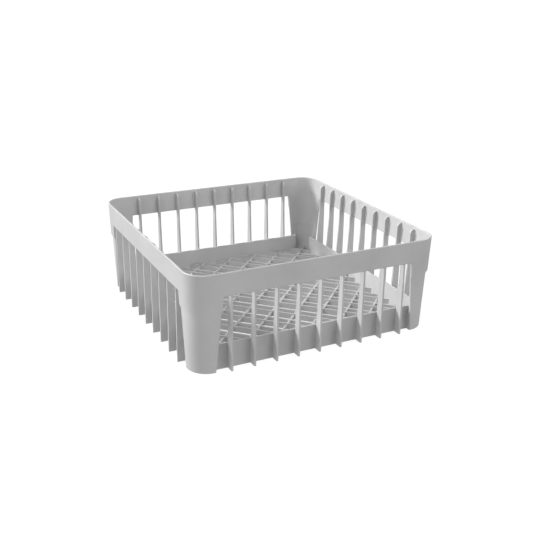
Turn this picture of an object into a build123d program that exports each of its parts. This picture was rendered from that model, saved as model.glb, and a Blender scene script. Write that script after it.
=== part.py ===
from build123d import *
import os

# All lengths in mm. Z is up, Z 0 is the ground, X runs along the front wall,
# Y runs to the back, and the origin is the middle of the basket at the ground.

# Outer shell: rim band and corner posts
RIM_WIDTH = 400.0        # outside, across the top of the rim
HEIGHT = 148.0
CORNER_RADIUS = 30.0     # outside, rim and posts
WALL = 3.0
RIM_BAND = 33.5          # height of the closed band at the top
OUTER_LEAN = 0.0244      # outside faces come in by this per mm going down
INNER_LEAN = 0.050       # inside faces, from the rim down to the inner ledge
STEP_TOP = 94.5          # level where the posts step inwards on the outside
STEP_SLOPE = 5.5         # height of the sloped step
STEP_DEPTH = 1.9
LEDGE_LEVEL = 58.0       # under it the inside of the posts is set back a little
LEDGE_SLOPE = 0.6
RIM_EDGE = 0.8           # bevel along the top of the rim
FOOT_EDGE = 0.8          # bevel round the outside of the feet
POST_WIDTH_TOP = 47.5    # from the rim's outside to the opening, under the rim
POST_WIDTH_FOOT = 37.5   # the same at the ground

# Upright fins on each wall
FIN_COUNT = 9
FIN_END_GAP = 12.5       # middle of the last fin to the opening's upper corner
FIN_THICKNESS = 2.8
FIN_TOP_DROP = 4.0       # top of a fin below the top of the rim
FIN_TOP_INSET = 10.5     # inner edge down to the posts' step, from the rim's outside
FIN_TOP_ROUND = 6.0
FIN_RIM_INSET = 0.6      # outer edge behind the outside of the rim band
FIN_FOOT_INSET = 1.0     # outer edge at the ground, from the rim's outside

# Low strip set in behind the fins
STRIP_INSET = 17.0       # inner face, from the rim's outside
STRIP_THICKNESS = 3.0
STRIP_TOP = 38.5
STRIP_OVERLAP = 2.0      # each end past the opening's lower corner
WEB_THICKNESS = 2.6      # ties a strip's end to the post

# Floor grid, its lines slanting across the square
FLOOR_TURN = 45.0        # degrees
FLOOR_CELLS = 7          # diamonds across the inside of the strips
FLOOR_BOTTOM = 5.0
RIB_TOP = 12.0
RIB_THICKNESS = 2.8
SLAT_TOP = 14.0          # slats between the ribs of one direction stand higher
SLAT_THICKNESS = 2.4

# Lines used by several parts
RIM_HALF = RIM_WIDTH / 2
RIM_BOTTOM = HEIGHT - RIM_BAND
STEP_BOTTOM = STEP_TOP - STEP_SLOPE
INNER_RADIUS = CORNER_RADIUS - WALL
WINDOW_TOP = RIM_HALF - POST_WIDTH_TOP
WINDOW_FOOT = RIM_HALF - POST_WIDTH_FOOT
FIN_PITCH = 2 * (WINDOW_TOP - FIN_END_GAP) / (FIN_COUNT - 1)
STRIP_INNER = RIM_HALF - STRIP_INSET
STRIP_MIDDLE = STRIP_INNER + STRIP_THICKNESS / 2
STRIP_END = WINDOW_FOOT + STRIP_OVERLAP
SIDES = (0, 90, 180, 270)


def outer_half(z):
    half = RIM_HALF - OUTER_LEAN * (HEIGHT - z)
    return half if z >= STEP_TOP else half - STEP_DEPTH


def inner_half(z):
    if z > LEDGE_LEVEL:
        return RIM_HALF - WALL - INNER_LEAN * (HEIGHT - z)
    return outer_half(z) - WALL


def outline(half, radius, z, bevel=0):
    side = 2 * (half + bevel)
    return Pos(0, 0, z) * RectangleRounded(side, side, radius + bevel)


def around(shape):
    return [Rot(0, 0, angle) * shape for angle in SIDES]


def shell():
    shoulder = HEIGHT - RIM_EDGE
    outer = [outline(outer_half(0), CORNER_RADIUS, 0, -FOOT_EDGE)]
    for z in (FOOT_EDGE, STEP_BOTTOM, STEP_TOP, shoulder):
        outer.append(outline(outer_half(z), CORNER_RADIUS, z))
    outer.append(outline(outer_half(HEIGHT), CORNER_RADIUS, HEIGHT, -RIM_EDGE))
    inner = [outline(inner_half(z), INNER_RADIUS, z)
             for z in (0, LEDGE_LEVEL, LEDGE_LEVEL + LEDGE_SLOPE, shoulder)]
    inner.append(outline(inner_half(HEIGHT), INNER_RADIUS, HEIGHT, RIM_EDGE))
    return loft(outer, ruled=True) - loft(inner, ruled=True)


def window():
    corners = [(WINDOW_FOOT, 0), (WINDOW_TOP, RIM_BOTTOM), (-WINDOW_TOP, RIM_BOTTOM), (-WINDOW_FOOT, 0)]
    face = make_face(Polyline(*corners, close=True))
    return Pos(RIM_HALF, 0, 0) * extrude(Plane.YZ * face, STRIP_INSET, both=True)


def fin():
    top = HEIGHT - FIN_TOP_DROP
    inner = RIM_HALF - FIN_TOP_INSET
    edge = [(STRIP_MIDDLE, 0), (RIM_HALF - FIN_FOOT_INSET, 0),
            (outer_half(RIM_BOTTOM) - FIN_RIM_INSET, RIM_BOTTOM),
            (outer_half(top) - WALL / 2, top), (inner, top), (inner, STEP_TOP)]
    face = make_face(Polyline(*edge, close=True))
    inner_top = face.vertices().group_by(Axis.Y)[-1].sort_by(Axis.X)[0]
    return extrude(Plane.XZ * fillet(inner_top, FIN_TOP_ROUND), FIN_THICKNESS / 2, both=True)


def fins():
    first = -FIN_PITCH * (FIN_COUNT - 1) / 2
    row = [Pos(0, first + FIN_PITCH * i, 0) * fin() for i in range(FIN_COUNT)]
    return [one for blade in row for one in around(blade)]


def bar(x0, x1, y0, y1, height):
    return Pos((x0 + x1) / 2, (y0 + y1) / 2, height / 2) * Box(x1 - x0, y1 - y0, height)


def strip():
    in_post = inner_half(0) + WALL / 2
    plate = bar(STRIP_INNER, STRIP_INNER + STRIP_THICKNESS, -STRIP_END, STRIP_END, STRIP_TOP)
    web = bar(STRIP_MIDDLE, in_post, STRIP_END - WEB_THICKNESS, STRIP_END, STRIP_TOP)
    return plate + web + mirror(web, Plane.XZ)


def floor_outline():
    edge = inner_half(FLOOR_BOTTOM) + WALL / 2
    area = RectangleRounded(2 * edge, 2 * edge, INNER_RADIUS)
    cut = Pos(STRIP_MIDDLE + RIM_HALF / 2, 0) * Rectangle(RIM_HALF, 2 * STRIP_END - WEB_THICKNESS)
    return area - around(cut)


def diagonals(steps, thickness, angle):
    pitch = 2 * STRIP_INNER / FLOOR_CELLS / 2 ** 0.5
    line = Rectangle(2 * RIM_WIDTH, thickness)
    return [Rot(0, 0, angle) * Pos(0, pitch * k) * line for k in steps]


def floor_layer(lines, top):
    sketch = (Sketch() + lines) & floor_outline()
    return extrude(Pos(0, 0, FLOOR_BOTTOM) * sketch, top - FLOOR_BOTTOM)


def floor():
    whole = range(1 - FLOOR_CELLS, FLOOR_CELLS)
    between = [k + 0.5 for k in range(-FLOOR_CELLS, FLOOR_CELLS)]
    ribs = diagonals(whole, RIB_THICKNESS, -FLOOR_TURN) + diagonals(whole, RIB_THICKNESS, FLOOR_TURN)
    slats = diagonals(between, SLAT_THICKNESS, -FLOOR_TURN)
    return floor_layer(ribs, RIB_TOP) + floor_layer(slats, SLAT_TOP)


def basket():
    body = shell() - around(window())
    return body + around(strip()) + fins() + floor()


os.makedirs("parts", exist_ok=True)
part = basket()
part.label = "basket"
export_step(part, "parts/basket.step")
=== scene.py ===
import bpy
from math import radians
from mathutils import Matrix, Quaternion, Vector


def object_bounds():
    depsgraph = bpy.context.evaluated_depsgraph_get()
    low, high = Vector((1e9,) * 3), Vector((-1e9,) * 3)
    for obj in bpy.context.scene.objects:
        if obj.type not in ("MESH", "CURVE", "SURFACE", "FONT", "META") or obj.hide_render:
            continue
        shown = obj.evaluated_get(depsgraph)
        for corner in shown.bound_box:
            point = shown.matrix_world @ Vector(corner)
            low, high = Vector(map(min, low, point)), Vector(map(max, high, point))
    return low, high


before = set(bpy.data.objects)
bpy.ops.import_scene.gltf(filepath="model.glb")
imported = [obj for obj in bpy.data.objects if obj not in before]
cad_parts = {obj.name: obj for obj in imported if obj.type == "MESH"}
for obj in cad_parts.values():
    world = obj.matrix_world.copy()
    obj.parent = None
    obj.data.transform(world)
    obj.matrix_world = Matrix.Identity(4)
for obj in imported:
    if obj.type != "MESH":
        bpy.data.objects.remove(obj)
cad_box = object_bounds()

# Lengths are in metres and angles in degrees, apart from the lens and sensor, in mm

# Camera
CAMERA_PLACE = Vector((-0.5389, -1.0972, 0.5317))
CAMERA_AIM = Vector((0.0001, -0.0504, 0.0669))
CAMERA_ROLL = 0.99
LENS = 52.34
SENSOR = 36.0
CLIP_START = 0.01

# Lamps: name, strength, direction the light comes from, softness
LAMPS = (("key", 3.75, Vector((-0.62, 0.54, 0.57)), 20.0),
         ("left_fill", 1.15, Vector((-0.78, -0.28, 0.56)), 50.0),
         ("right_fill", 1.4, Vector((0.585, -0.585, 0.56)), 50.0))

# Surround: soft light from above and below, with a change between the two near the horizon
SURROUND_ABOVE = 0.27
SURROUND_BELOW = 0.47
SURROUND_BLEND = 0.1     # Z of a direction, up or down, where the change is complete

# Floor, a pale backdrop that glows so that it stays even; the surround lights the basket in its place
FLOOR_SIZE = 80.0
FLOOR_TONE = 0.08
FLOOR_GLOW = 0.95

# Dome that meets the floor, a white background for low views; it lights nothing and casts no shadow
DOME_RADIUS = 20.0
DOME_TONE = 0.0
DOME_GLOW = 1.0

# Shading of the moulding
WELD_GAP = 0.000001
CREASE_ANGLE = 30.0      # shallower bends blend

# Moulded plastic
PLASTIC_TONE = 0.50
TONE_SPREAD = 0.03
CLOUD_SIZE = 0.06
CLOUD_DETAIL = 4.0
ROUGHNESS = 0.48
ROUGHNESS_SPREAD = 0.06
GRAIN_SIZE = 0.0010
GRAIN_DETAIL = 2.0
GRAIN_DEPTH = 0.00006
NOISE_LOW = 0.3          # the part of a noise's range that is stretched over a spread
NOISE_HIGH = 0.7

# Edges of the plastic, rounded in the shading and painted lighter, as scuff wear and a painted
# highlight
EDGE_ROUND = 0.0005
EDGE_WEAR_AND_HIGHLIGHT = 0.06
WORN_AND_LIT_MATCH = 0.75        # match of rounded and plain normals where the wear and painted highlight are full
PLAIN_MATCH = 0.98       # match where there is none
SCUFF_AND_HIGHLIGHT_SIZE = 0.008
SCUFF_AND_HIGHLIGHT_DETAIL = 3.0


def grey(tone):
    return (tone, tone, tone, 1.0)


def noise(nodes, links, place, size, detail):
    texture = nodes.new("ShaderNodeTexNoise")
    texture.inputs["Scale"].default_value = 1.0 / size
    texture.inputs["Detail"].default_value = detail
    links.new(place.outputs["Object"], texture.inputs["Vector"])
    return texture.outputs["Fac"]


def spread(nodes, links, value, low, high):
    ramp = nodes.new("ShaderNodeMapRange")
    ramp.inputs["From Min"].default_value = NOISE_LOW
    ramp.inputs["From Max"].default_value = NOISE_HIGH
    ramp.inputs["To Min"].default_value = low
    ramp.inputs["To Max"].default_value = high
    links.new(value, ramp.inputs["Value"])
    return ramp.outputs["Result"]


# Scuff wear and painted highlight: edges lighter where the rounded normal turns from the face, broken
# up by noise
def edge_wear_and_highlight(nodes, links, edge, scuff_and_highlight):
    surface = nodes.new("ShaderNodeNewGeometry")
    match = nodes.new("ShaderNodeVectorMath")
    match.operation = "DOT_PRODUCT"
    links.new(edge.outputs["Normal"], match.inputs[0])
    links.new(surface.outputs["Normal"], match.inputs[1])
    lightening = nodes.new("ShaderNodeMapRange")
    lightening.inputs["From Min"].default_value = WORN_AND_LIT_MATCH
    lightening.inputs["From Max"].default_value = PLAIN_MATCH
    lightening.inputs["To Max"].default_value = 0.0
    links.new(match.outputs["Value"], lightening.inputs["Value"])
    links.new(spread(nodes, links, scuff_and_highlight, 0.0, EDGE_WEAR_AND_HIGHLIGHT), lightening.inputs["To Min"])
    return lightening.outputs["Result"]


def grey_plastic():
    material = bpy.data.materials.new("grey_plastic")
    material.use_nodes = True
    nodes, links = material.node_tree.nodes, material.node_tree.links
    shader = nodes["Principled BSDF"]
    place = nodes.new("ShaderNodeTexCoord")
    cloud = noise(nodes, links, place, CLOUD_SIZE, CLOUD_DETAIL)
    grain = noise(nodes, links, place, GRAIN_SIZE, GRAIN_DETAIL)

    edge = nodes.new("ShaderNodeBevel")
    edge.inputs["Radius"].default_value = EDGE_ROUND
    scuff_and_highlight = noise(nodes, links, place, SCUFF_AND_HIGHLIGHT_SIZE, SCUFF_AND_HIGHLIGHT_DETAIL)
    # Edges painted lighter, as scuff wear and a painted highlight
    wear_and_highlight = edge_wear_and_highlight(nodes, links, edge, scuff_and_highlight)

    clouded = spread(nodes, links, cloud, PLASTIC_TONE - TONE_SPREAD, PLASTIC_TONE + TONE_SPREAD)
    tone = nodes.new("ShaderNodeMath")
    tone.operation = "ADD"
    links.new(clouded, tone.inputs[0])
    links.new(wear_and_highlight, tone.inputs[1])
    colour = nodes.new("ShaderNodeCombineColor")
    for channel in ("Red", "Green", "Blue"):
        links.new(tone.outputs["Value"], colour.inputs[channel])
    links.new(colour.outputs["Color"], shader.inputs["Base Color"])

    rough = spread(nodes, links, grain, ROUGHNESS - ROUGHNESS_SPREAD, ROUGHNESS + ROUGHNESS_SPREAD)
    links.new(rough, shader.inputs["Roughness"])

    bump = nodes.new("ShaderNodeBump")
    links.new(edge.outputs["Normal"], bump.inputs["Normal"])
    bump.inputs["Distance"].default_value = GRAIN_DEPTH
    links.new(grain, bump.inputs["Height"])
    links.new(bump.outputs["Normal"], shader.inputs["Normal"])
    return material


def pale_material(name, tone, glow):
    material = bpy.data.materials.new(name)
    material.use_nodes = True
    shader = material.node_tree.nodes["Principled BSDF"]
    shader.inputs["Base Color"].default_value = grey(tone)
    shader.inputs["Emission Color"].default_value = grey(1.0)
    shader.inputs["Emission Strength"].default_value = glow
    shader.inputs["Roughness"].default_value = 1.0
    shader.inputs["Specular IOR Level"].default_value = 0.0
    return material


def soften(node):
    # Join the faces, part them at the sharper bends, and let the larger faces lead the shading
    for face in node.data.polygons:
        face.use_smooth = True
    joined = node.modifiers.new("joined", "WELD")
    joined.merge_threshold = WELD_GAP
    creased = node.modifiers.new("creased", "EDGE_SPLIT")
    creased.split_angle = radians(CREASE_ANGLE)
    creased.use_edge_sharp = False
    node.modifiers.new("shaded", "WEIGHTED_NORMAL")


def dress(node, material):
    node.data.materials.clear()
    node.data.materials.append(material)


def set_backdrop(thing, name, material):
    # The glow shows to the camera and does not light the basket
    thing.name = name
    thing.data.materials.append(material)
    thing.visible_diffuse = False
    thing.visible_glossy = False


def make_floor():
    bpy.ops.mesh.primitive_plane_add(size=FLOOR_SIZE, location=(0.0, 0.0, cad_box[0][2]))
    set_backdrop(bpy.context.object, "floor", pale_material("pale_floor", FLOOR_TONE, FLOOR_GLOW))


def make_dome():
    bpy.ops.mesh.primitive_uv_sphere_add(radius=DOME_RADIUS)
    dome = bpy.context.object
    dome.visible_shadow = False
    set_backdrop(dome, "dome", pale_material("white_dome", DOME_TONE, DOME_GLOW))


def make_surround():
    world = bpy.data.worlds.new("surround")
    world.use_nodes = True
    nodes, links = world.node_tree.nodes, world.node_tree.links
    place = nodes.new("ShaderNodeTexCoord")
    height = nodes.new("ShaderNodeSeparateXYZ")
    links.new(place.outputs["Generated"], height.inputs["Vector"])
    strength = nodes.new("ShaderNodeMapRange")
    strength.inputs["From Min"].default_value = -SURROUND_BLEND
    strength.inputs["From Max"].default_value = SURROUND_BLEND
    strength.inputs["To Min"].default_value = SURROUND_BELOW
    strength.inputs["To Max"].default_value = SURROUND_ABOVE
    links.new(height.outputs["Z"], strength.inputs["Value"])
    links.new(strength.outputs["Result"], nodes["Background"].inputs["Strength"])
    nodes["Background"].inputs["Color"].default_value = grey(1.0)
    bpy.context.scene.world = world


def make_lamp(name, strength, source, softness):
    data = bpy.data.lights.new(name, "SUN")
    data.energy = strength
    data.angle = radians(softness)
    lamp = bpy.data.objects.new(name, data)
    lamp.rotation_mode = "QUATERNION"
    lamp.rotation_quaternion = source.to_track_quat("Z", "Y")
    bpy.context.scene.collection.objects.link(lamp)


def make_camera():
    data = bpy.data.cameras.new("camera")
    data.lens = LENS
    data.sensor_width = SENSOR
    data.clip_start = CLIP_START
    camera = bpy.data.objects.new("camera", data)
    camera.location = CAMERA_PLACE
    camera.rotation_mode = "QUATERNION"
    aim = (CAMERA_AIM - CAMERA_PLACE).to_track_quat("-Z", "Y")
    camera.rotation_quaternion = aim @ Quaternion((0.0, 0.0, 1.0), radians(CAMERA_ROLL))
    bpy.context.scene.collection.objects.link(camera)
    bpy.context.scene.camera = camera


bpy.context.scene.view_settings.view_transform = "Standard"
soften(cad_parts["basket"])
dress(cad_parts["basket"], grey_plastic())
make_floor()
make_dome()
make_surround()
for lamp in LAMPS:
    make_lamp(*lamp)
make_camera()
